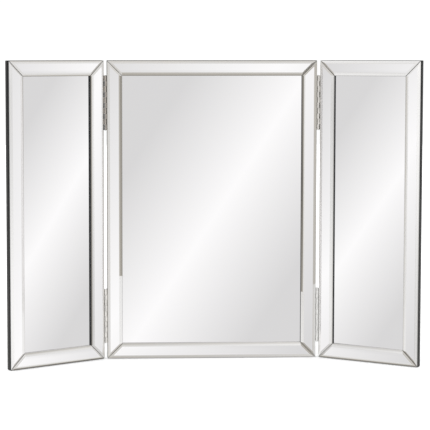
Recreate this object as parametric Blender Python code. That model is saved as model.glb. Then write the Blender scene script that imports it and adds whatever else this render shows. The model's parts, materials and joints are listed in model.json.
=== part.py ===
"""Tri-fold dressing-table mirror: a centre panel with a hinged wing on each side.

Every panel is a black painted board with a shallow pocket that holds a flat mirror plate. Four
mitred, bevelled mirror strips are bonded to the board's rim around the pocket, and overlap the
plate's edges. Two butt hinges with ten knuckles join each wing to the centre. Their leaves are
screwed to the facing board edges.

Frame: metres, +Z up, +X to the viewer's right, -Y towards the viewer. The origin is the middle
of the centre board's bottom face. At rest both wings are folded FOLD_ANGLE towards the viewer.
"""

import math

import bmesh
import bpy
from mathutils import Matrix, Vector

MM = 0.001

# Driving dimensions
HEIGHT = 533.4 * MM
CENTRE_WIDTH = 374.4 * MM
FOLD_ANGLE = math.radians(30.0)
FIT_GAP = 0.3 * MM

# Backing board, with a pocket in its front for the mirror plate
BOARD_THICKNESS = 9.0 * MM
BOARD_EASE = 0.8 * MM
POCKET_BORDER = 20.5 * MM

# Each wing is a little narrower than half the centre panel
WING_WIDTH = CENTRE_WIDTH / 2 - 1.2 * MM

# Mirror strips on the rim and the plate in the pocket, each on its own adhesive
GLASS_INSET = 0.5 * MM
STRIP_WIDTH = 27.0 * MM
STRIP_THICKNESS = 5.0 * MM
STRIP_EDGE_THICKNESS = 3.0 * MM
OUTER_BEVEL = 5.6 * MM
INNER_BEVEL = 6.0 * MM
MITRE_BEVEL = 3.5 * MM
PLATE_THICKNESS = 3.0 * MM
PLATE_ARRIS = 0.4 * MM
PLATE_SIDE_GAP = 0.5 * MM
PLATE_PROUD = 0.4 * MM
ADHESIVE_THICKNESS = 0.8 * MM
ADHESIVE_INSET = 4.0 * MM

BOARD_FRONT = -BOARD_THICKNESS / 2
RIM_ADHESIVE_BACK = BOARD_FRONT - FIT_GAP
STRIP_BACK = RIM_ADHESIVE_BACK - ADHESIVE_THICKNESS - FIT_GAP
STRIP_FACE = STRIP_BACK - STRIP_THICKNESS
PLATE_FRONT = BOARD_FRONT - PLATE_PROUD
PLATE_BACK = PLATE_FRONT + PLATE_THICKNESS
POCKET_FLOOR = PLATE_BACK + ADHESIVE_THICKNESS + 2 * FIT_GAP

# Hinges: u runs from the hinge's axis towards the panel, v runs backwards from the axis
AXIS_BEHIND_FACE = 1.5 * MM
AXIS_TO_BOARD = 2.2 * MM
HINGE_LENGTH = 96.5 * MM
HINGE_TOP_MARGIN = 27.0 * MM
HINGE_BOTTOM_MARGIN = 29.0 * MM
KNUCKLES = 10
KNUCKLE_GAP = 0.3 * MM
BARREL_RADIUS = 1.8 * MM
BORE_RADIUS = 1.0 * MM
PIN_RADIUS = 0.9 * MM
PIN_HEAD_RADIUS = 1.5 * MM
PIN_HEAD_HEIGHT = 0.6 * MM
LEAF_THICKNESS = 1.0 * MM
LEAF_NEAR_U = AXIS_TO_BOARD - FIT_GAP - LEAF_THICKNESS
LEAF_FAR_U = AXIS_TO_BOARD - FIT_GAP
FINGER_FRONT_V = 1.3 * MM
FINGER_SIDE_STEP = 0.1 * MM
ROOT_NEAR_U = 1.4 * MM
ROOT_FAR_U = AXIS_TO_BOARD + GLASS_INSET - FIT_GAP
ROOT_FRONT_V = -0.7 * MM
NOTCH_V = 2.6 * MM
LEAF_BACK_STEP = 1.0 * MM

AXIS_X = CENTRE_WIDTH / 2 + AXIS_TO_BOARD
AXIS_Y = STRIP_FACE + AXIS_BEHIND_FACE
ROOT_BACK_V = BOARD_FRONT - FIT_GAP - AXIS_Y
LEAF_BACK_V = BOARD_THICKNESS / 2 - AXIS_Y - LEAF_BACK_STEP
KNUCKLE_PITCH = HINGE_LENGTH / KNUCKLES
HINGE_LEVELS = {
    "upper": HEIGHT - HINGE_TOP_MARGIN - HINGE_LENGTH,
    "lower": HINGE_BOTTOM_MARGIN,
}

# Countersunk screws through each leaf into the board's edge
SCREWS_PER_LEAF = 3
SCREW_END_MARGIN = 14.5 * MM
SCREW_V = -AXIS_Y
SCREW_LENGTH = 12.0 * MM
SCREW_TIP_LENGTH = 2.5 * MM
SCREW_HEAD_RADIUS = 2.2 * MM
SCREW_HEAD_HEIGHT = 1.0 * MM
SCREW_HEAD_SINK = 0.05 * MM
SHANK_RADIUS = 1.2 * MM
RECESS_ARM = 1.3 * MM
RECESS_WIDTH = 0.5 * MM
RECESS_DEPTH = 0.6 * MM
SCREW_CLEARANCE = 0.25 * MM
CUT_OVERRUN = 2.0 * MM

ROUND_SEGMENTS = 16
SHARP_ANGLE = math.radians(40.0)

LEFT = -1
RIGHT = 1
SIDE_NAMES = {LEFT: "left", RIGHT: "right"}


# ---------------------------------------------------------------- helpers


def clear_scene():
    for old in list(bpy.data.objects):
        bpy.data.objects.remove(old, do_unlink=True)


def material(name, colour, metallic, roughness):
    made = bpy.data.materials.new(name)
    made.use_nodes = True
    shader = made.node_tree.nodes["Principled BSDF"]
    shader.inputs["Base Color"].default_value = (*colour, 1.0)
    shader.inputs["Metallic"].default_value = metallic
    shader.inputs["Roughness"].default_value = roughness
    return made


def add_object(name, mesh, finish=None, parent=None, location=(0, 0, 0), turn_y=0.0):
    made = bpy.data.objects.new(name, mesh)
    bpy.context.scene.collection.objects.link(made)
    made.parent = parent
    made.location = location
    made.rotation_euler.y = turn_y
    if finish and not mesh.materials:
        mesh.materials.append(finish)
    return made


def add_cutter(name, mesh, target, operation):
    """A hidden helper in the target's own place, and the Boolean that uses it."""
    cutter = add_object(name, mesh, None, target.parent, target.location)
    cutter.hide_render = True
    cutter.display_type = "WIRE"
    boolean = target.modifiers.new(name, "BOOLEAN")
    boolean.operation = operation
    boolean.solver = "EXACT"
    boolean.object = cutter


def to_mesh(bm, name, smooth=False):
    bmesh.ops.recalc_face_normals(bm, faces=bm.faces)
    mesh = bpy.data.meshes.new(name)
    bm.to_mesh(mesh)
    bm.free()
    if smooth:
        mesh.shade_smooth()
        mesh.set_sharp_from_angle(angle=SHARP_ANGLE)
    return mesh


def add_box(bm, low, high):
    size = [b - a for a, b in zip(low, high)]
    middle = [(a + b) / 2 for a, b in zip(low, high)]
    matrix = Matrix.Translation(middle) @ Matrix.Diagonal((*size, 1.0))
    bmesh.ops.create_cube(bm, size=1.0, matrix=matrix)


def add_loft(bm, loops, close_start=True, close_end=True):
    """Join loops of the same number of points one after another, and close the ends."""
    rings = [[bm.verts.new(point) for point in loop] for loop in loops]
    for ring, following in zip(rings, rings[1:]):
        for i in range(len(ring)):
            j = (i + 1) % len(ring)
            bm.faces.new((ring[i], ring[j], following[j], following[i]))
    if close_start:
        bm.faces.new(rings[0])
    if close_end:
        bm.faces.new(rings[-1])
    return rings


def add_ring(bm, loops):
    """Join loops one after another, and the last to the first, around a hole."""
    rings = add_loft(bm, loops, close_start=False, close_end=False)
    first, last = rings[0], rings[-1]
    for i in range(len(first)):
        j = (i + 1) % len(first)
        bm.faces.new((last[i], last[j], first[j], first[i]))


def circle(radius, centre, across, up):
    """Points of a round section about centre, in the plane of the two unit vectors."""
    points = []
    for i in range(ROUND_SEGMENTS):
        angle = 2 * math.pi * (i + 0.5) / ROUND_SEGMENTS
        points.append(centre + radius * (math.cos(angle) * across + math.sin(angle) * up))
    return points


# ---------------------------------------------------------------- panels


def board_mesh(name, width):
    bm = bmesh.new()
    half = BOARD_THICKNESS / 2
    add_box(bm, (-width / 2, -half, 0), (width / 2, half, HEIGHT))
    bmesh.ops.bevel(bm, geom=bm.edges, offset=BOARD_EASE, segments=1, affect="EDGES")
    return to_mesh(bm, name)


def screw_heights():
    """Heights of one leaf's screws above the hinge's lower end."""
    step = (HINGE_LENGTH - 2 * SCREW_END_MARGIN) / (SCREWS_PER_LEAF - 1)
    return [SCREW_END_MARGIN + i * step for i in range(SCREWS_PER_LEAF)]


def board_cuts_mesh(name, width, hinge_sides):
    """The pocket, and round bars along X where the screws enter the board's hinged edges."""
    bm = bmesh.new()
    half = width / 2 - POCKET_BORDER
    low = (-half, BOARD_FRONT - CUT_OVERRUN, POCKET_BORDER)
    add_box(bm, low, (half, POCKET_FLOOR, HEIGHT - POCKET_BORDER))
    radius = SHANK_RADIUS + SCREW_CLEARANCE
    depth = LEAF_NEAR_U + SCREW_LENGTH + FIT_GAP - AXIS_TO_BOARD
    across, up = Vector((0, 1, 0)), Vector((0, 0, 1))
    for side in hinge_sides:
        for base in HINGE_LEVELS.values():
            for height in screw_heights():
                mouth = Vector((side * (width / 2 + CUT_OVERRUN), 0, base + height))
                end = Vector((side * (width / 2 - depth), 0, base + height))
                add_loft(bm, [circle(radius, place, across, up) for place in (mouth, end)])
    return to_mesh(bm, name)


def rectangle(width, border, depth):
    """Corners of a rectangle that lies border inside a panel's outline, depth along Y."""
    half, low, high = width / 2 - border, border, HEIGHT - border
    return [(-half, depth, low), (half, depth, low), (half, depth, high), (-half, depth, high)]


def rim_adhesive_mesh(name, width):
    """A flat ring between the board's rim and the strips."""
    outer, inner = ADHESIVE_INSET, POCKET_BORDER - ADHESIVE_INSET / 2
    front = RIM_ADHESIVE_BACK - ADHESIVE_THICKNESS
    section = [(outer, RIM_ADHESIVE_BACK), (outer, front), (inner, front), (inner, RIM_ADHESIVE_BACK)]
    bm = bmesh.new()
    add_ring(bm, [rectangle(width, border, depth) for border, depth in section])
    return to_mesh(bm, name)


def plate_adhesive_mesh(name, width):
    """A flat pad between the pocket's floor and the plate."""
    border = POCKET_BORDER + ADHESIVE_INSET
    front = PLATE_BACK + FIT_GAP
    bm = bmesh.new()
    add_loft(bm, [rectangle(width, border, depth) for depth in (front, front + ADHESIVE_THICKNESS)])
    return to_mesh(bm, name)


def plate_mesh(name, width):
    """The flat mirror in the middle, with a fine arris around its front face."""
    border = POCKET_BORDER + PLATE_SIDE_GAP
    section = [(border, PLATE_BACK), (border, PLATE_FRONT + PLATE_ARRIS), (border + PLATE_ARRIS, PLATE_FRONT)]
    bm = bmesh.new()
    add_loft(bm, [rectangle(width, inset, depth) for inset, depth in section])
    return to_mesh(bm, name)


def strip_mesh(name, length):
    """One border strip: a trapezium with a bevel along all four of its sides.

    X runs along the strip, the outer edge is at Z = 0, and the front faces -Y.
    """
    mitre_gap = FIT_GAP / 2 * math.sqrt(2)
    mitre_inset = MITRE_BEVEL * math.sqrt(2)

    def outline(low, high, end_inset, depth):
        outer = length / 2 - mitre_gap - end_inset - low
        inner = length / 2 - mitre_gap - end_inset - high
        return [(-outer, depth, low), (outer, depth, low), (inner, depth, high), (-inner, depth, high)]

    flat_low, flat_high = OUTER_BEVEL, STRIP_WIDTH - INNER_BEVEL
    bm = bmesh.new()
    add_loft(
        bm,
        [
            outline(0, STRIP_WIDTH, 0, STRIP_BACK),
            outline(0, STRIP_WIDTH, 0, STRIP_BACK - STRIP_EDGE_THICKNESS),
            outline(flat_low, flat_high, mitre_inset, STRIP_FACE),
        ],
    )
    return to_mesh(bm, name)


def build_strips(prefix, width, middle, parent, finish):
    """Bottom, left, top and right, each a quarter turn about Y on from the last."""
    half = width / 2 - GLASS_INSET
    low, high = GLASS_INSET, HEIGHT - GLASS_INSET
    mid_height = HEIGHT / 2
    across_mesh = strip_mesh(prefix + "_strip_across", 2 * half)
    upright_mesh = strip_mesh(prefix + "_strip_upright", high - low)
    places = [
        ("bottom", across_mesh, (0, low)),
        ("left", upright_mesh, (-half, mid_height)),
        ("top", across_mesh, (0, high)),
        ("right", upright_mesh, (half, mid_height)),
    ]
    for turn, (name, mesh, (x, z)) in enumerate(places):
        place = middle + Vector((x, 0, z))
        add_object(f"{prefix}_strip_{name}", mesh, finish, parent, place, turn * math.pi / 2)


def build_panel(prefix, width, hinge_sides, middle, parent, finishes):
    """One panel. middle is the foot of its board's middle, in its parent's frame."""
    board = board_mesh(prefix + "_board", width)
    board_object = add_object(prefix + "_backing_board", board, finishes["board"], parent, middle)
    cuts = board_cuts_mesh(prefix + "_board_cuts", width, hinge_sides)
    add_cutter(prefix + "_board_cuts", cuts, board_object, "DIFFERENCE")
    rim_adhesive = rim_adhesive_mesh(prefix + "_rim_adhesive", width)
    add_object(prefix + "_rim_adhesive", rim_adhesive, finishes["adhesive"], parent, middle)
    plate_adhesive = plate_adhesive_mesh(prefix + "_plate_adhesive", width)
    add_object(prefix + "_plate_adhesive", plate_adhesive, finishes["adhesive"], parent, middle)
    plate = plate_mesh(prefix + "_plate", width)
    add_object(prefix + "_mirror_plate", plate, finishes["mirror"], parent, middle)
    build_strips(prefix, width, middle, parent, finishes["strip"])


# ---------------------------------------------------------------- hinges


def comb_mesh(name, direction, first_knuckle, near_u, far_u, front_v, back_v):
    """A plate along the hinge, with a tooth that reaches forward beside each of its own knuckles."""
    outline = [(back_v, 0.0), (back_v, HINGE_LENGTH)]
    for index in range(KNUCKLES - 1, -1, -1):
        if index % 2 != first_knuckle:
            continue
        low, high = knuckle_span(index)
        low, high = low + FINGER_SIDE_STEP, high - FINGER_SIDE_STEP
        outline += [(NOTCH_V, high), (front_v, high), (front_v, low), (NOTCH_V, low)]
    if first_knuckle == 1:
        outline.append((NOTCH_V, 0.0))
    else:
        outline.insert(2, (NOTCH_V, HINGE_LENGTH))
    bm = bmesh.new()
    near = [bm.verts.new((direction * near_u, v, z)) for v, z in outline]
    face = bm.faces.new(near)
    grown = bmesh.ops.extrude_face_region(bm, geom=[face])
    far = [part for part in grown["geom"] if isinstance(part, bmesh.types.BMVert)]
    bmesh.ops.translate(bm, verts=far, vec=(direction * (far_u - near_u), 0, 0))
    return to_mesh(bm, name)


def knuckle_span(index):
    """Lower and upper end of a knuckle, counted from the hinge's lower end."""
    low = index * KNUCKLE_PITCH + (KNUCKLE_GAP / 2 if index else 0.0)
    high = (index + 1) * KNUCKLE_PITCH - (KNUCKLE_GAP / 2 if index < KNUCKLES - 1 else 0.0)
    return low, high


def knuckles_mesh(name, first_knuckle):
    """Every second ring of the barrel."""
    across, up = Vector((1, 0, 0)), Vector((0, 1, 0))
    bm = bmesh.new()
    for index in range(first_knuckle, KNUCKLES, 2):
        low, high = (Vector((0, 0, z)) for z in knuckle_span(index))
        section = [(BORE_RADIUS, low), (BARREL_RADIUS, low), (BARREL_RADIUS, high), (BORE_RADIUS, high)]
        add_ring(bm, [circle(radius, centre, across, up) for radius, centre in section])
    return to_mesh(bm, name, smooth=True)


def countersinks_mesh(name, direction):
    """The screw holes of one leaf: a cone from the leaf's open face, then a round hole."""
    across, up = Vector((0, 1, 0)), Vector((0, 0, 1))
    wide = SCREW_HEAD_RADIUS + SCREW_CLEARANCE
    narrow = SHANK_RADIUS + SCREW_CLEARANCE
    section = [
        (wide, LEAF_NEAR_U - CUT_OVERRUN),
        (wide, LEAF_NEAR_U + SCREW_HEAD_SINK),
        (narrow, LEAF_NEAR_U + SCREW_HEAD_SINK + SCREW_HEAD_HEIGHT * 0.9),
        (narrow, LEAF_FAR_U + CUT_OVERRUN),
    ]
    bm = bmesh.new()
    for height in screw_heights():
        loops = []
        for radius, u in section:
            loops.append(circle(radius, Vector((direction * u, SCREW_V, height)), across, up))
        add_loft(bm, loops)
    return to_mesh(bm, name)


def pin_mesh():
    """A plain pin with a low peened head at each end."""
    across, up = Vector((1, 0, 0)), Vector((0, 1, 0))
    top = HINGE_LENGTH + FIT_GAP
    section = [
        (PIN_RADIUS, -FIT_GAP - PIN_HEAD_HEIGHT),
        (PIN_HEAD_RADIUS, -FIT_GAP - PIN_HEAD_HEIGHT / 2),
        (PIN_HEAD_RADIUS, -FIT_GAP),
        (PIN_RADIUS, -FIT_GAP),
        (PIN_RADIUS, top),
        (PIN_HEAD_RADIUS, top),
        (PIN_HEAD_RADIUS, top + PIN_HEAD_HEIGHT / 2),
        (PIN_RADIUS, top + PIN_HEAD_HEIGHT),
    ]
    bm = bmesh.new()
    add_loft(bm, [circle(radius, Vector((0, 0, z)), across, up) for radius, z in section])
    return to_mesh(bm, "hinge_pin", smooth=True)


def recess_outline(depth):
    """The cross in a screw's head, as twelve points around the screw's axis."""
    arm, half = RECESS_ARM, RECESS_WIDTH / 2
    corner = [(arm, -half), (arm, half), (half, half)]
    points = []
    for quarter in range(4):
        turn = Matrix.Rotation(quarter * math.pi / 2, 3, "X")
        points += [turn @ Vector((depth, y, z)) for y, z in corner]
    return points


def screw_mesh():
    """A countersunk screw along +X, with its head's face at X = 0."""
    across, up = Vector((0, 1, 0)), Vector((0, 0, 1))
    section = [
        (SCREW_HEAD_RADIUS, 0.0),
        (SHANK_RADIUS, SCREW_HEAD_HEIGHT),
        (SHANK_RADIUS, SCREW_LENGTH - SCREW_TIP_LENGTH),
        (SHANK_RADIUS * 0.15, SCREW_LENGTH),
    ]
    bm = bmesh.new()
    loops = [circle(radius, Vector((x, 0, 0)), across, up) for radius, x in section]
    rim = add_loft(bm, loops, close_start=False)[0]
    mouth = add_loft(bm, [recess_outline(0.0), recess_outline(RECESS_DEPTH)], close_start=False)[0]
    border = []
    for ring in (rim, mouth):
        for i in range(len(ring)):
            border.append(bm.edges.get((ring[i - 1], ring[i])))
    bmesh.ops.triangle_fill(bm, use_beauty=True, use_dissolve=False, edges=border)
    return to_mesh(bm, "hinge_screw", smooth=True)


def build_leaf(prefix, direction, first_knuckle, place, parent, finish):
    """A thin plate, with a thicker root between its knuckles and the mirror strip beside them."""
    plate = (LEAF_NEAR_U, LEAF_FAR_U, FINGER_FRONT_V, LEAF_BACK_V)
    root = (ROOT_NEAR_U, ROOT_FAR_U, ROOT_FRONT_V, ROOT_BACK_V)
    mesh = comb_mesh(prefix, direction, first_knuckle, *plate)
    leaf = add_object(prefix + "_leaf", mesh, finish, parent, place)
    additions = {
        "_root": comb_mesh(prefix + "_root", direction, first_knuckle, *root),
        "_knuckles": knuckles_mesh(prefix + "_knuckles", first_knuckle),
    }
    for suffix, addition in additions.items():
        add_cutter(prefix + suffix, addition, leaf, "UNION")
    add_cutter(prefix + "_countersinks", countersinks_mesh(prefix, direction), leaf, "DIFFERENCE")


def build_screws(prefix, direction, place, parent, mesh, finish):
    for number, height in enumerate(screw_heights(), 1):
        head = Vector((direction * (LEAF_NEAR_U + SCREW_HEAD_SINK), SCREW_V, height))
        screw = add_object(f"{prefix}_screw_{number}", mesh, finish, parent, place + head)
        screw.rotation_euler.z = 0.0 if direction > 0 else math.pi


def build_hinge_side(side, axis, pin, screw, finishes):
    """Both hinges of one wing. The fixed leaves stay with the centre panel."""
    foot = Vector((side * AXIS_X, AXIS_Y, 0))
    for level, base in HINGE_LEVELS.items():
        prefix = f"{SIDE_NAMES[side]}_{level}_hinge"
        rise = Vector((0, 0, base))
        build_leaf(prefix + "_fixed", -side, 0, foot + rise, None, finishes["hinge"])
        build_screws(prefix + "_fixed", -side, foot + rise, None, screw, finishes["screw"])
        add_object(prefix + "_pin", pin, finishes["pin"], None, foot + rise)
        build_leaf(prefix + "_moving", side, 1, rise, axis, finishes["hinge"])
        build_screws(prefix + "_moving", side, rise, axis, screw, finishes["screw"])


# ---------------------------------------------------------------- assembly


def make_finishes():
    return {
        "board": material("black_painted_board", (0.012, 0.012, 0.013), 0.0, 0.45),
        "adhesive": material("mounting_adhesive", (0.30, 0.30, 0.29), 0.0, 0.8),
        "mirror": material("mirror_plate", (0.90, 0.92, 0.91), 1.0, 0.02),
        "strip": material("mirror_strip", (0.92, 0.93, 0.92), 1.0, 0.02),
        "hinge": material("satin_nickel", (0.62, 0.58, 0.53), 1.0, 0.32),
        "pin": material("bright_steel", (0.70, 0.69, 0.67), 1.0, 0.22),
        "screw": material("zinc_plated_steel", (0.66, 0.65, 0.63), 1.0, 0.28),
    }


def build_wing(side, pin, screw, finishes):
    """An empty on the hinge's axis carries the wing and turns it to its rest angle."""
    name = SIDE_NAMES[side]
    axis = bpy.data.objects.new(name + "_hinge_axis", None)
    bpy.context.scene.collection.objects.link(axis)
    axis.location = (side * AXIS_X, AXIS_Y, 0)
    axis.rotation_euler.z = -side * FOLD_ANGLE
    middle = Vector((side * (AXIS_TO_BOARD + WING_WIDTH / 2), -AXIS_Y, 0))
    build_panel(name + "_wing", WING_WIDTH, (-side,), middle, axis, finishes)
    build_hinge_side(side, axis, pin, screw, finishes)


def main():
    clear_scene()
    finishes = make_finishes()
    build_panel("centre", CENTRE_WIDTH, (LEFT, RIGHT), Vector((0, 0, 0)), None, finishes)
    pin, screw = pin_mesh(), screw_mesh()
    for side in (LEFT, RIGHT):
        build_wing(side, pin, screw, finishes)


main()
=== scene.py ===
"""Looks of the tri-fold dressing-table mirror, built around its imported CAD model.

The mirror strips are rebuilt here with ground edges and bevels. Boards, plates, adhesive, hinges
and screws keep their CAD shape. Everything is in metres, +Z up, and -Y faces the viewer.
"""

import json
import math

import bmesh
import bpy
from mathutils import Matrix, Vector


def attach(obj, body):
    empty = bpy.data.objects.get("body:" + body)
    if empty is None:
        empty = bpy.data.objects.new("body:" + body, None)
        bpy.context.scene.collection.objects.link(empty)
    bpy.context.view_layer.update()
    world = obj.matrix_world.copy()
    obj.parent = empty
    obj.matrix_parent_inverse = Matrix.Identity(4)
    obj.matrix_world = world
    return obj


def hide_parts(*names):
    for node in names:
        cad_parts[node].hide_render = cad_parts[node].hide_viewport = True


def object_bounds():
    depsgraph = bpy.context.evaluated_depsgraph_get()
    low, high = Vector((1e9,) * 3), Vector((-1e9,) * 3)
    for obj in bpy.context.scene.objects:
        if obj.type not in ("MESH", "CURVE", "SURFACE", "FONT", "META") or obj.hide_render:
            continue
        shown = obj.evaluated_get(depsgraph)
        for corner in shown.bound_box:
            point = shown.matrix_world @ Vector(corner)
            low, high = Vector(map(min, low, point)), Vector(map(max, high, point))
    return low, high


MM = 0.001

# Strips: the same sections as the CAD strips, plus a ground arris on every edge
OUTER_BEVEL = 5.6 * MM
INNER_BEVEL = 6.0 * MM
MITRE_BEVEL = 3.5 * MM
BEVEL_DROP = 2.0 * MM
MITRE_GAP = 0.3 * MM
ARRIS = 0.3 * MM

# Camera
LENS = 120.0
SENSOR = 36.0
CAMERA_PLACE = Vector((-0.168, -2.547, 0.546))
CAMERA_TURN = math.radians(-2.18)
CAMERA_TILT = math.radians(90.0 - 3.89)
CAMERA_SHIFT = (0.10, -0.15)

# Hinges
HOLLOW_SCALE = 5.0 * MM

# Studio
CARD_DISTANCE = 1.2
CARD_MARGIN = 1.5
WHITE = 1.08
FLOOR_GLOW = 0.35
FLOOR_HALF_SIZE = 6.0
FLOOR_DROP = 0.5 * MM
MIRROR_COLOUR = (0.945, 0.935, 0.94, 1.0)
MIRROR_REFLECTANCE = 0.94
CARD_LIGHTEST = 0.988
CARD_RANGE = 0.146
CARD_SOFT_EDGE = 0.04
CARD_RIM_START = 1.03
CARD_RIM_FADE = 0.45
ROOM_TONE = 0.972

PANELS = {"centre": "centre_panel", "left_wing": "left_wing", "right_wing": "right_wing"}

# Painted reflection on the bevels: how bright each bevel looks, as (place along the strip from its top
# or left end, tones from the flat to the rim). The tones stand in for the strip's own dark edges and
# the surroundings a bevel reflects, so they vary.
PAINTED_LIGHT_BEVEL = (0.94, 0.95, 0.95, 0.92)
BEVEL_PAINTED_REFLECTIONS = {
    "centre": {
        "left": {
            "outer": [(0.0, (0.93, 0.86, 0.90, 0.70))],
            "inner": [
                (0.0, (0.74, 0.68, 0.52, 0.66)),
                (0.719, (0.78, 0.70, 0.60, 0.70)),
                (0.722, (0.94, 0.93, 0.92, 0.93)),
                (1.0, (0.95, 0.95, 0.95, 0.95)),
            ],
        },
        "right": {
            "outer": [
                (0.0, (0.76, 0.72, 0.72, 0.74)),
                (0.75, (0.79, 0.75, 0.76, 0.77)),
                (0.755, (0.86, 0.87, 0.90, 0.88)),
                (1.0, (0.84, 0.86, 0.92, 0.92)),
            ],
            "inner": [
                (0.0, (0.93, 0.88, 0.48, 0.58)),
                (0.4, (0.93, 0.88, 0.38, 0.50)),
                (0.776, (0.92, 0.88, 0.56, 0.62)),
                (0.779, (0.90, 0.89, 0.88, 0.89)),
                (1.0, (0.92, 0.94, 0.95, 0.92)),
            ],
        },
        "top": {
            "outer": [(0.0, (0.87, 0.87, 0.81, 0.80))],
            "inner": [(0.0, (0.78, 0.71, 0.68, 0.60)), (1.0, (0.90, 0.78, 0.72, 0.62))],
        },
        "bottom": {
            "outer": [(0.0, (0.92, 0.82, 0.76, 0.78)), (1.0, (0.88, 0.90, 0.88, 0.82))],
            "inner": [(0.0, (0.95, 0.88, 0.82, 0.76)), (1.0, (0.90, 0.95, 0.88, 0.84))],
        },
    },
    "left_wing": {
        "left": {
            "outer": [(0.0, (0.98, 0.99, 0.99, 0.94)), (1.0, (1.0, 1.0, 1.0, 0.96))],
            "inner": [(0.0, (0.95, 0.96, 0.90, 0.66)), (0.6, PAINTED_LIGHT_BEVEL), (1.0, PAINTED_LIGHT_BEVEL)],
        },
        "right": {
            "outer": [(0.0, (0.97, 0.96, 0.95, 0.84))],
            "inner": [(0.0, (0.95, 0.95, 0.80, 0.32)), (1.0, (0.96, 0.96, 0.86, 0.50))],
        },
        "top": {
            "outer": [(0.0, (0.90, 0.89, 0.86, 0.72)), (1.0, (0.97, 0.92, 0.86, 0.72))],
            "inner": [(0.0, (0.92, 0.91, 0.86, 0.66)), (1.0, (0.95, 0.90, 0.84, 0.68))],
        },
        "bottom": {
            "outer": [(0.0, (0.96, 0.92, 0.62, 0.34)), (1.0, (0.95, 0.90, 0.56, 0.30))],
            "inner": [(0.0, (0.95, 0.93, 0.84, 0.72)), (1.0, (0.90, 0.90, 0.84, 0.74))],
        },
    },
    "right_wing": {
        "left": {
            "outer": [(0.0, (0.96, 0.99, 1.0, 1.0)), (1.0, (0.96, 0.98, 0.98, 0.96))],
            "inner": [(0.0, (0.96, 0.98, 0.96, 0.84)), (1.0, (0.94, 0.95, 0.93, 0.80))],
        },
        "right": {
            "outer": [(0.0, (0.99, 1.0, 0.99, 0.98)), (1.0, (0.94, 0.98, 1.0, 0.82))],
            "inner": [(0.0, (0.97, 0.90, 0.80, 0.76)), (1.0, (0.92, 0.94, 0.90, 0.86))],
        },
        "top": {
            "outer": [(0.0, (0.88, 0.93, 0.93, 0.95))],
            "inner": [(0.0, (0.90, 0.94, 0.96, 0.90))],
        },
        "bottom": {
            "outer": [(0.0, (0.94, 0.90, 0.66, 0.42))],
            "inner": [(0.0, (0.93, 0.96, 0.90, 0.84))],
        },
    },
}
# Painted reflection on the mitre bevels: one tone for each corner of each panel
CORNER_PAINTED_REFLECTIONS = {
    "centre": {"top_left": 0.84, "top_right": 0.74, "bottom_left": 0.82, "bottom_right": 0.72},
    "left_wing": {"top_left": 0.89, "top_right": 0.86, "bottom_left": 0.88, "bottom_right": 0.90},
    "right_wing": {"top_left": 0.82, "top_right": 0.93, "bottom_left": 0.90, "bottom_right": 0.78},
}

# Painted reflection on the bottom strips' inner walls, which then take the bevels' mirror
INNER_WALL_PAINTED_REFLECTION = {"bottom": 0.92}

# Each hinge's nickel: its colour, set as light or as dark as that hinge looks, which is painted light
# and shade, and how much of that colour is left in its hollows, which is painted shade
HINGE_PAINTED_LIGHT_AND_SHADE = {
    "left_upper": ((0.52, 0.475, 0.43), 0.12),
    "left_lower": ((0.97, 0.94, 0.90), 0.75),
    "right_upper": ((0.84, 0.81, 0.77), 0.70),
    "right_lower": ((1.00, 0.99, 0.97), 1.0),
}

# Tone across each reflected card: slopes across and down and an offset, for the plate and for the
# border around it. It is lightest where their sum is nought.
CARD_TONES = {
    "centre": ((0.90, 0.83, -0.06), (0.49, 0.45, 0.13)),
    "left_wing": ((0.58, 1.12, 0.01), (0.33, 0.33, 0.0)),
    "right_wing": ((0.58, 1.12, -0.07), (0.34, 0.67, 0.0)),
}

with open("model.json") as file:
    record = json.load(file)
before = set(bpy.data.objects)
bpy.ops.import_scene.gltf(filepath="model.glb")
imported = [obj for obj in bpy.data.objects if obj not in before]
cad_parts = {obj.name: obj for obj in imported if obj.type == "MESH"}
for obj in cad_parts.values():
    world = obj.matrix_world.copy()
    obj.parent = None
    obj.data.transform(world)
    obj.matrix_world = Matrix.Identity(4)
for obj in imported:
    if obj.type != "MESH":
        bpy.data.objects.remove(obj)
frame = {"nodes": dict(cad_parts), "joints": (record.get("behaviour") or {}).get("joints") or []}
CAD_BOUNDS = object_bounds()


# ---------------------------------------------------------------- node helpers


def new_material(name):
    made = bpy.data.materials.new(name)
    made.use_nodes = True
    made.node_tree.nodes.clear()
    return made, made.node_tree


def add(tree, kind, **values):
    """A node of this kind. Keywords name its attributes, or its input sockets by name."""
    node = tree.nodes.new(kind)
    for name, value in values.items():
        if hasattr(node, name):
            setattr(node, name, value)
        else:
            node.inputs[name.replace("_", " ")].default_value = value
    return node


def link(tree, source, target):
    tree.links.new(source, target)


def math_node(tree, operation, first, second=None, clamp=False):
    node = tree.nodes.new("ShaderNodeMath")
    node.operation = operation
    node.use_clamp = clamp
    for socket, value in zip(node.inputs, (first, second)):
        if value is None:
            continue
        if isinstance(value, (int, float)):
            socket.default_value = value
        else:
            link(tree, value, socket)
    return node.outputs[0]


def ramp(tree, source, stops, interpolation="LINEAR"):
    node = tree.nodes.new("ShaderNodeValToRGB")
    node.color_ramp.interpolation = interpolation
    elements = node.color_ramp.elements
    while len(elements) < len(stops):
        elements.new(0.5)
    for element, (place, colour) in zip(elements, stops):
        element.position = place
        element.color = colour if len(colour) == 4 else (*colour, 1.0)
    link(tree, source, node.inputs["Fac"])
    return node.outputs["Color"]


def grey(value):
    return (value, value, value, 1.0)


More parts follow.
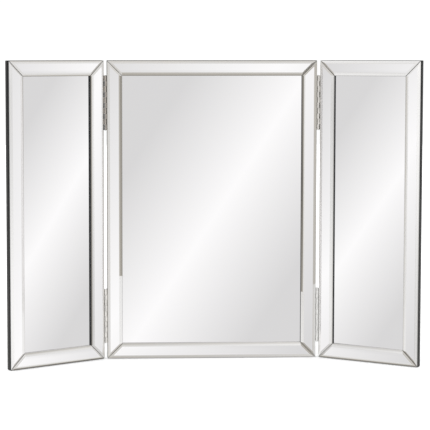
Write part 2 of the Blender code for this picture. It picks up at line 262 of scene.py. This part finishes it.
def noise(tree, scale, detail=2.0, roughness=0.5, stretch=(1.0, 1.0, 1.0)):
    """A noise value over the piece's own rest coordinates, in metres."""
    place = add(tree, "ShaderNodeTexCoord")
    mapping = add(tree, "ShaderNodeMapping")
    mapping.inputs["Scale"].default_value = stretch
    link(tree, place.outputs["Object"], mapping.inputs["Vector"])
    texture = add(tree, "ShaderNodeTexNoise", Scale=scale, Detail=detail, Roughness=roughness)
    link(tree, mapping.outputs["Vector"], texture.inputs["Vector"])
    return texture.outputs["Fac"]


def split_place(tree):
    """The piece's own coordinates, one output for each axis."""
    place = add(tree, "ShaderNodeTexCoord")
    split = add(tree, "ShaderNodeSeparateXYZ")
    link(tree, place.outputs["Object"], split.inputs["Vector"])
    return split


def height_share(tree):
    """Nought at the foot of the mirror, and one at its top."""
    split = split_place(tree)
    return math_node(tree, "DIVIDE", split.outputs["Z"], CAD_BOUNDS[1][2])


def sideways_share(tree):
    """Nought in the middle of the mirror, and one at the outer end of either wing."""
    split = split_place(tree)
    sideways = math_node(tree, "ABSOLUTE", split.outputs["X"])
    return math_node(tree, "DIVIDE", sideways, CAD_BOUNDS[1][0])


def places_about_pin(tree):
    """How far outward of the nearer pin, and how far from it, as shares of the hollow scale."""
    split = split_place(tree)
    pin_x, pin_y, _ = frame["joints"][0]["pos_m"]
    x = math_node(tree, "SUBTRACT", math_node(tree, "ABSOLUTE", split.outputs["X"]), abs(pin_x))
    y = math_node(tree, "SUBTRACT", split.outputs["Y"], pin_y)
    squares = [math_node(tree, "MULTIPLY", side, side) for side in (x, y)]
    distance = math_node(tree, "SQRT", math_node(tree, "ADD", *squares))
    return tuple(math_node(tree, "DIVIDE", length, HOLLOW_SCALE) for length in (x, distance))


def mixed(tree, first, second, share, blend_type="MIX"):
    """The first colour, mixed with the second by the share, which is a number or a socket."""
    node = add(tree, "ShaderNodeMix", data_type="RGBA", blend_type=blend_type)
    if isinstance(share, bpy.types.NodeSocket):
        link(tree, share, node.inputs["Factor"])
    else:
        node.inputs["Factor"].default_value = share
    link(tree, first, node.inputs[6])
    link(tree, second, node.inputs[7])
    return node.outputs[2]


def shaded(tree, first, second):
    """One colour times another."""
    return mixed(tree, first, second, 1.0, "MULTIPLY")


def bump(tree, height, strength, distance):
    node = add(tree, "ShaderNodeBump", Strength=strength, Distance=distance)
    link(tree, height, node.inputs["Height"])
    return node.outputs["Normal"]


def finish_shader(tree, **values):
    """A Principled shader wired to the output. A keyword is a number, a colour or a node's socket."""
    shader = add(tree, "ShaderNodeBsdfPrincipled")
    output = add(tree, "ShaderNodeOutputMaterial")
    for name, value in values.items():
        socket = shader.inputs[name.replace("_", " ")]
        if isinstance(value, bpy.types.NodeSocket):
            link(tree, value, socket)
        else:
            socket.default_value = value
    link(tree, shader.outputs["BSDF"], output.inputs["Surface"])


# ---------------------------------------------------------------- materials


def mirror_material():
    """Silvered float glass: clear reflection, with a trace of haze and of the glass's ripple."""
    made, tree = new_material("silvered_mirror")
    haze = ramp(tree, noise(tree, 9.0, 4.0, 0.6), [(0.35, grey(0.004)), (0.8, grey(0.02))])
    ripple = bump(tree, noise(tree, 14.0, 1.0), 0.02, 0.0002)
    finish_shader(tree, Base_Color=MIRROR_COLOUR, Metallic=1.0, Roughness=haze, Normal=ripple)
    return made


def bevel_material():
    """The strips' bevels: the same mirror, darkened by each face's painted reflection tone, and warmer
    where that tone is low.
    """
    made, tree = new_material("bevelled_mirror")
    tone = add(tree, "ShaderNodeAttribute", attribute_name="tone")
    light = math_node(tree, "POWER", tone.outputs["Fac"], 2.2)
    # Painted reflection: lower tones are tinted warmer
    painted_reflection_warmth = math_node(tree, "MULTIPLY_ADD", noise(tree, 30.0, 2.0), 0.1)
    link(tree, tone.outputs["Fac"], painted_reflection_warmth.node.inputs[2])
    tint = ramp(tree, painted_reflection_warmth, [(0.72, (1.0, 0.94, 0.84)), (0.98, (0.96, 0.95, 0.94))])
    colour = add(tree, "ShaderNodeVectorMath", operation="SCALE")
    link(tree, tint, colour.inputs[0])
    link(tree, light, colour.inputs["Scale"])
    haze = ramp(tree, noise(tree, 18.0, 3.0), [(0.3, grey(0.12)), (0.8, grey(0.17))])
    finish_shader(tree, Base_Color=colour.outputs["Vector"], Metallic=1.0, Roughness=haze)
    return made


def glass_edge_material():
    """Ground glass edge, with fine grinding marks: dark, with a painted lighter band where two edges
    face at a hinge.
    """
    made, tree = new_material("ground_glass_edge")
    marks = noise(tree, 900.0, 3.0, 0.6, (0.15, 0.15, 0.15))
    glass = ramp(tree, marks, [(0.3, grey(0.5)), (0.75, grey(1.0))])
    # Painted light: a lighter band by sideways place, at the edges facing each other across the hinge
    # gaps
    depth = ramp(
        tree,
        sideways_share(tree),
        [
            (0.49, (0.022, 0.026, 0.025)),
            (0.51, (0.34, 0.36, 0.35)),
            (0.55, (0.34, 0.36, 0.35)),
            (0.58, (0.022, 0.026, 0.025)),
        ],
    )
    finish_shader(
        tree,
        Base_Color=shaded(tree, glass, depth),
        Roughness=0.4,
        Specular_IOR_Level=0.2,
        Normal=bump(tree, marks, 0.15, 0.0001),
    )
    return made


def backing_paint_material():
    made, tree = new_material("mirror_backing_paint")
    colour = ramp(tree, noise(tree, 60.0, 3.0), [(0.3, (0.16, 0.16, 0.17)), (0.7, (0.21, 0.21, 0.22))])
    finish_shader(tree, Base_Color=colour, Roughness=0.6)
    return made


def black_paint_material():
    """Sprayed satin black paint over fibreboard, lighter towards its foot as a painted reflection of
    the floor, with a faint orange peel.
    """
    made, tree = new_material("black_painted_board")
    cloud = noise(tree, 22.0, 4.0, 0.6)
    peel = noise(tree, 1500.0, 2.0, 0.5)
    paint = ramp(tree, cloud, [(0.3, grey(0.6)), (0.75, grey(1.0))])
    # Painted reflection: the paint is lighter towards the foot, where it would mirror the pale floor
    painted_floor_reflection = ramp(tree, height_share(tree), [(0.0, (0.054, 0.052, 0.050)), (0.9, grey(0.012))])
    colour = shaded(tree, paint, painted_floor_reflection)
    rough = ramp(tree, cloud, [(0.3, grey(0.46)), (0.75, grey(0.58))])
    finish_shader(
        tree,
        Base_Color=colour,
        Roughness=rough,
        Specular_IOR_Level=0.2,
        Normal=bump(tree, peel, 0.25, 0.0002),
    )
    return made


def adhesive_material():
    made, tree = new_material("mounting_adhesive")
    colour = ramp(tree, noise(tree, 120.0, 3.0), [(0.3, (0.03, 0.03, 0.03)), (0.7, (0.06, 0.06, 0.06))])
    finish_shader(tree, Base_Color=colour, Roughness=0.8)
    return made


def nickel_material(hinge, leaf):
    """Satin nickel plate with a fine upright grain, with painted shade in its hollows. Each hinge's
    colour is painted light and shade, as light or dark as that hinge looks.

    A fixed leaf's only metal on the wing's side of the pin is the far half of each knuckle,
    which gets the same painted shade as a hollow.
    """
    made, tree = new_material(f"satin_nickel_{hinge}_{leaf}")
    colour, hollow = HINGE_PAINTED_LIGHT_AND_SHADE[hinge]
    grain = noise(tree, 260.0, 3.0, 0.6, (3.0, 3.0, 0.25))
    tarnish = noise(tree, 160.0, 3.0, 0.6)
    faded = tuple(0.8 * part for part in colour)
    dark = tuple(hollow * part for part in colour)
    unshaded_colour = ramp(tree, tarnish, [(0.3, faded), (0.7, colour)])
    hollow_shade_colour = ramp(tree, tarnish, [(0.3, tuple(0.8 * part for part in dark)), (0.7, dark)])
    outward, distance = places_about_pin(tree)
    # Painted shade: metal farther from the pin than the knuckles' rim takes the darker colour, and on a
    # fixed leaf so does all metal outward of the pin
    shade_share = ramp(tree, distance, [(0.50, grey(0.0)), (0.56, grey(1.0))])
    if leaf == "fixed":
        beyond = ramp(tree, outward, [(0.08, grey(0.0)), (0.14, grey(1.0))])
        shade_share = math_node(tree, "MAXIMUM", shade_share, beyond)
    rough = ramp(tree, grain, [(0.3, grey(0.26)), (0.7, grey(0.40))])
    finish_shader(
        tree,
        Base_Color=mixed(tree, unshaded_colour, hollow_shade_colour, shade_share),
        Metallic=1.0,
        Roughness=rough,
        Normal=bump(tree, grain, 0.2, 0.0001),
    )
    return made


def steel_material(name, light, dark, roughness):
    made, tree = new_material(name)
    wear = noise(tree, 420.0, 3.0, 0.6)
    colour = ramp(tree, wear, [(0.3, grey(dark)), (0.7, grey(light))])
    rough = ramp(tree, wear, [(0.3, grey(roughness)), (0.7, grey(roughness + 0.1))])
    finish_shader(tree, Base_Color=colour, Metallic=1.0, Roughness=rough)
    return made


# ---------------------------------------------------------------- panel frames


def wing_unfold(body):
    """The turn about a wing's hinge axis that lays the wing flat beside the centre panel."""
    for joint in frame["joints"]:
        if joint["child"] == body:
            pivot = Vector(joint["pos_m"])
            turn = Matrix.Rotation(math.radians(joint["range_deg"][0]), 4, Vector(joint["axis"]))
            return Matrix.Translation(pivot) @ turn @ Matrix.Translation(-pivot)
    return Matrix.Identity(4)


def flat_box(node, unfold):
    """Lowest and highest corner of a CAD node after its panel is laid flat."""
    corners = [unfold @ v.co for v in frame["nodes"][node].data.vertices]
    low = Vector([min(c[i] for c in corners) for i in range(3)])
    high = Vector([max(c[i] for c in corners) for i in range(3)])
    return low, high


# ---------------------------------------------------------------- strips


def strip_solid(length, width, back, edge, face):
    """One closed strip, outer edge at Z = 0, and the kind of each of its faces."""
    mitre_gap = MITRE_GAP / 2 * math.sqrt(2)

    def outline(low, high, end_inset, depth):
        outer = length / 2 - mitre_gap - end_inset - low
        inner = length / 2 - mitre_gap - end_inset - high
        return [(-outer, depth, low), (outer, depth, low), (inner, depth, high), (-inner, depth, high)]

    def shrunk(inset, depth):
        return outline(inset, width - inset, inset * math.sqrt(2), depth)

    loops = [
        shrunk(ARRIS, back),
        shrunk(0.0, back - ARRIS),
        shrunk(0.0, edge + ARRIS),
        shrunk(ARRIS, edge),
        outline(OUTER_BEVEL, width - INNER_BEVEL, MITRE_BEVEL * math.sqrt(2), face),
    ]
    bm = bmesh.new()
    rings = [[bm.verts.new(point) for point in loop] for loop in loops]
    kinds = {bm.faces.new(rings[0]): "back", bm.faces.new(rings[-1]): "flat"}
    for level, (ring, following) in enumerate(zip(rings, rings[1:])):
        for i, bevel in enumerate(("outer", "end", "inner", "start")):
            j = (i + 1) % 4
            face = bm.faces.new((ring[i], ring[j], following[j], following[i]))
            wall = "inner_wall" if bevel == "inner" else "wall"
            kinds[face] = bevel if level == len(rings) - 2 else wall
    bmesh.ops.recalc_face_normals(bm, faces=bm.faces)
    return bm, kinds


def split_face(bm, faces, origin, normal):
    """Cut these faces with a plane, and return all of the pieces."""
    geometry = set(faces)
    for face in faces:
        geometry.update(face.edges, face.verts)
    cut = bmesh.ops.bisect_plane(
        bm, geom=list(geometry), dist=1e-7, plane_co=origin, plane_no=normal
    )
    return [part for part in cut["geom"] if isinstance(part, bmesh.types.BMFace)]


def blend(stations, place):
    """The tuple of numbers at this place, on straight lines between the stations."""
    if place <= stations[0][0]:
        return stations[0][1]
    for (low, first), (high, second) in zip(stations, stations[1:]):
        if place <= high:
            share = (place - low) / (high - low)
            return tuple(a + (b - a) * share for a, b in zip(first, second))
    return stations[-1][1]


def tone_at(stations, along, across):
    tones = blend(stations, along)
    evenly = [(i / (len(tones) - 1), (tone,)) for i, tone in enumerate(tones)]
    return blend(evenly, across)[0]


def strip_mesh(name, section, reverse, bevels, corners, inner_wall, materials):
    """Material 0 is the flat mirror, 1 its bevels, 2 the ground edges and 3 the painted back.

    bevels gives the painted reflection tones of the outer and of the inner bevel, from the strip's top
    or left end, and corners the painted reflection tones of the mitre bevels at that end and at the
    other. The inner wall is ground, unless it has a painted reflection tone, which gives it the bevels'
    mirror.
    """
    length, width = section[:2]
    bm, kinds = strip_solid(*section)
    # Each face corner carries its painted reflection tone in the tone attribute
    painted_reflection_layer = bm.loops.layers.float_color.new("tone")
    slots = {"flat": 0, "wall": 2, "inner_wall": 1 if inner_wall else 2, "back": 3}
    for face in bm.faces:
        face.material_index = slots.get(kinds[face], 1)
    edges = {
        "outer": (OUTER_BEVEL, ARRIS),
        "inner": (width - INNER_BEVEL, width - ARRIS),
    }
    even = {
        "start": corners[1 if reverse else 0],
        "end": corners[0 if reverse else 1],
        "inner_wall": inner_wall or 0.0,
    }
    for whole, kind in list(kinds.items()):
        if kind in even:
            for loop in whole.loops:
                loop[painted_reflection_layer] = grey(even[kind])
        if kind not in edges:
            continue
        flat_side, rim = edges[kind]
        stations = bevels[kind]
        pieces = [whole]
        steps = len(stations[0][1]) - 1
        for step in range(1, steps):
            z = flat_side + (rim - flat_side) * step / steps
            pieces = split_face(bm, pieces, (0, 0, z), (0, 0, 1))
        for place, _ in stations[1:-1]:
            x = length * ((1 - place if reverse else place) - 0.5)
            pieces = split_face(bm, pieces, (x, 0, 0), (1, 0, 0))
        for piece in pieces:
            for loop in piece.loops:
                along = loop.vert.co.x / length + 0.5
                across = (loop.vert.co.z - flat_side) / (rim - flat_side)
                along = 1 - along if reverse else along
                loop[painted_reflection_layer] = grey(tone_at(stations, along, across))
    mesh = bpy.data.meshes.new(name)
    bm.to_mesh(mesh)
    bm.free()
    for finish in materials:
        mesh.materials.append(finish)
    return mesh


def build_strips(prefix, body, unfold, materials):
    """Four strips on one panel, each a quarter turn on from the last, in the CAD strips' places."""
    fold = unfold.inverted()
    corners = CORNER_PAINTED_REFLECTIONS[prefix]
    ends = {
        "bottom": (corners["bottom_left"], corners["bottom_right"]),
        "left": (corners["top_left"], corners["bottom_left"]),
        "top": (corners["top_left"], corners["top_right"]),
        "right": (corners["top_right"], corners["bottom_right"]),
    }
    for turn, side in enumerate(("bottom", "left", "top", "right")):
        node = f"{prefix}_strip_{side}"
        low, high = flat_box(node, unfold)
        size = high - low
        length = max(size.x, size.z) + MITRE_GAP * math.sqrt(2)
        width = min(size.x, size.z)
        middle = (low + high) / 2
        foot = {
            "bottom": (middle.x, low.z),
            "left": (low.x, middle.z),
            "top": (middle.x, high.z),
            "right": (high.x, middle.z),
        }[side]
        section = (length, width, high.y, low.y + BEVEL_DROP, low.y)
        tones = BEVEL_PAINTED_REFLECTIONS[prefix][side], ends[side], INNER_WALL_PAINTED_REFLECTION.get(side)
        mesh = strip_mesh(node, section, turn > 1, *tones, materials)
        place = Matrix.Translation((foot[0], 0, foot[1])) @ Matrix.Rotation(turn * math.pi / 2, 4, "Y")
        mesh.transform(fold @ place)
        strip = bpy.data.objects.new(f"{prefix}_mirror_strip_{side}", mesh)
        bpy.context.scene.collection.objects.link(strip)
        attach(strip, body)
        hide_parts(node)


# ---------------------------------------------------------------- carried-over CAD pieces


def dress(finishes):
    """Give every carried-over CAD node its material."""
    for name, node in frame["nodes"].items():
        for key, finish in finishes.items():
            if key in name:
                node.data.materials.clear()
                node.data.materials.append(finish)
                break


# ---------------------------------------------------------------- studio


def add_camera():
    data = bpy.data.cameras.new("camera")
    data.lens = LENS
    data.sensor_width = SENSOR
    data.shift_x, data.shift_y = CAMERA_SHIFT
    camera = bpy.data.objects.new("camera", data)
    camera.location = CAMERA_PLACE
    camera.rotation_euler = (CAMERA_TILT, 0.0, CAMERA_TURN)
    bpy.context.scene.collection.objects.link(camera)
    bpy.context.scene.camera = camera


def card_fade(tree, split, slopes):
    """Nought on the card's light line, and one a full step away from it."""
    across, down, offset = slopes
    x = math_node(tree, "MULTIPLY", split.outputs["X"], across)
    z = math_node(tree, "MULTIPLY", split.outputs["Z"], -down)
    total = math_node(tree, "ADD", math_node(tree, "ADD", x, z), offset)
    return math_node(tree, "MINIMUM", math_node(tree, "ABSOLUTE", total), 1.0)


def outside(tree, split, limits, softness):
    """Nought inside the box between these limits on either side of the middle, one well outside."""
    shares = []
    for side, limit in zip("XZ", limits):
        beyond = math_node(tree, "SUBTRACT", math_node(tree, "ABSOLUTE", split.outputs[side]), limit)
        shares.append(math_node(tree, "DIVIDE", beyond, softness, clamp=True))
    return math_node(tree, "MAXIMUM", *shares)


def towards(tree, first, second, share):
    """The first number, moved by the share towards the second."""
    step = math_node(tree, "MULTIPLY", math_node(tree, "SUBTRACT", second, first), share)
    return math_node(tree, "ADD", first, step)


def gradient_card_material(name, tones, plate_half):
    """White on a slanting line through the middle, and grey towards the two far corners.

    Round its rim the card fades to the room's own white.
    """
    made, tree = new_material(name)
    split = split_place(tree)
    plate, border = (card_fade(tree, split, slopes) for slopes in tones)
    on_border = outside(tree, split, plate_half, CARD_SOFT_EDGE)
    fade = math_node(tree, "MULTIPLY", towards(tree, plate, border, on_border), CARD_RANGE)
    tone = math_node(tree, "SUBTRACT", CARD_LIGHTEST, fade)
    on_rim = outside(tree, split, (CARD_RIM_START, CARD_RIM_START), CARD_RIM_FADE)
    light = math_node(tree, "POWER", towards(tree, tone, ROOM_TONE, on_rim), 2.2)
    emission = add(tree, "ShaderNodeEmission")
    link(tree, math_node(tree, "DIVIDE", light, MIRROR_REFLECTANCE), emission.inputs["Strength"])
    output = add(tree, "ShaderNodeOutputMaterial")
    link(tree, emission.outputs["Emission"], output.inputs["Surface"])
    return made


def reflected_only(obj):
    obj.visible_camera = False
    obj.visible_diffuse = False
    obj.visible_transmission = False
    obj.visible_volume_scatter = False
    obj.visible_shadow = False


def add_gradient_card(prefix, unfold):
    """A card in front of one panel, as large as the panel looks in its own reflection."""
    low, high = flat_box(f"{prefix}_backing_board", unfold)
    plate_low, plate_high = flat_box(f"{prefix}_strip_left", unfold)
    border = (plate_high.x - low.x) / (high.x - low.x), (plate_high.x - low.x) / (high.z - low.z)
    plate_half = [1 - 2 * share for share in border]
    fold = unfold.inverted()
    front = (fold.to_3x3() @ Vector((0, -1, 0))).normalized()
    middle = fold @ ((low + high) / 2)
    height = (CAMERA_PLACE - middle).dot(front)
    image = CAMERA_PLACE - 2 * height * front
    scale = (height + CARD_DISTANCE) / height
    centre = image + (middle - image) * scale
    mesh = bpy.data.meshes.new(prefix + "_card")
    corners = [(-1, 0, -1), (1, 0, -1), (1, 0, 1), (-1, 0, 1)]
    mesh.from_pydata([Vector(c) * CARD_MARGIN for c in corners], [], [(0, 1, 2, 3)])
    mesh.materials.append(gradient_card_material(prefix + "_card", CARD_TONES[prefix], plate_half))
    card = bpy.data.objects.new(prefix + "_card", mesh)
    bpy.context.scene.collection.objects.link(card)
    size = Matrix.Diagonal(((high.x - low.x) / 2 * scale, 1.0, (high.z - low.z) / 2 * scale, 1.0))
    card.matrix_world = Matrix.Translation(centre) @ fold.to_3x3().to_4x4() @ size
    reflected_only(card)


def add_floor():
    mesh = bpy.data.meshes.new("floor")
    bm = bmesh.new()
    bmesh.ops.create_grid(bm, x_segments=1, y_segments=1, size=FLOOR_HALF_SIZE)
    bm.to_mesh(mesh)
    bm.free()
    made, tree = new_material("pale_floor")
    colour = ramp(tree, noise(tree, 3.0, 2.0), [(0.3, grey(0.90)), (0.7, grey(0.92))])
    finish_shader(
        tree,
        Base_Color=colour,
        Roughness=0.9,
        Emission_Color=(1.0, 1.0, 1.0, 1.0),
        Emission_Strength=FLOOR_GLOW,
    )
    mesh.materials.append(made)
    floor = bpy.data.objects.new("floor", mesh)
    floor.location.z = -FLOOR_DROP
    floor.visible_glossy = False
    bpy.context.scene.collection.objects.link(floor)


def add_world():
    """Plain white to the eye, and a bright room that greys overhead and underfoot in reflections."""
    world = bpy.data.worlds.new("studio")
    bpy.context.scene.world = world
    world.use_nodes = True
    tree = world.node_tree
    tree.nodes.clear()
    place = add(tree, "ShaderNodeTexCoord")
    split = add(tree, "ShaderNodeSeparateXYZ")
    link(tree, place.outputs["Generated"], split.inputs["Vector"])
    up = math_node(tree, "MULTIPLY_ADD", split.outputs["Z"], 0.5)
    up.node.inputs[2].default_value = 0.5
    heights = ramp(
        tree,
        up,
        [(0.02, grey(0.55)), (0.14, grey(1.0)), (0.84, grey(1.0)), (0.97, grey(0.6))],
        "EASE",
    )
    seen = add(tree, "ShaderNodeBackground", Color=(1, 1, 1, 1), Strength=WHITE)
    room = add(tree, "ShaderNodeBackground", Strength=1.0)
    link(tree, heights, room.inputs["Color"])
    rays = add(tree, "ShaderNodeLightPath")
    mix = add(tree, "ShaderNodeMixShader")
    link(tree, rays.outputs["Is Glossy Ray"], mix.inputs["Fac"])
    link(tree, seen.outputs[0], mix.inputs[1])
    link(tree, room.outputs[0], mix.inputs[2])
    output = add(tree, "ShaderNodeOutputWorld")
    link(tree, mix.outputs[0], output.inputs["Surface"])


def set_view():
    bpy.context.scene.view_settings.view_transform = "Standard"
    bpy.context.scene.view_settings.look = "None"


# ---------------------------------------------------------------- assembly


def main():
    add_camera()
    mirror = mirror_material()
    dress(
        {
            "backing_board": black_paint_material(),
            "adhesive": adhesive_material(),
            "mirror_plate": mirror,
            **{
                f"{hinge}_hinge_{leaf}_leaf": nickel_material(hinge, leaf)
                for hinge in HINGE_PAINTED_LIGHT_AND_SHADE
                for leaf in ("fixed", "moving")
            },
            "_screw": steel_material("zinc_plated_steel", 0.62, 0.45, 0.25),
            "_pin": steel_material("drawn_steel", 0.66, 0.5, 0.22),
        }
    )
    strip_finishes = [mirror, bevel_material(), glass_edge_material(), backing_paint_material()]
    for prefix, body in PANELS.items():
        unfold = wing_unfold(body)
        build_strips(prefix, body, unfold, strip_finishes)
        add_gradient_card(prefix, unfold)
    add_world()
    add_floor()
    set_view()


main()
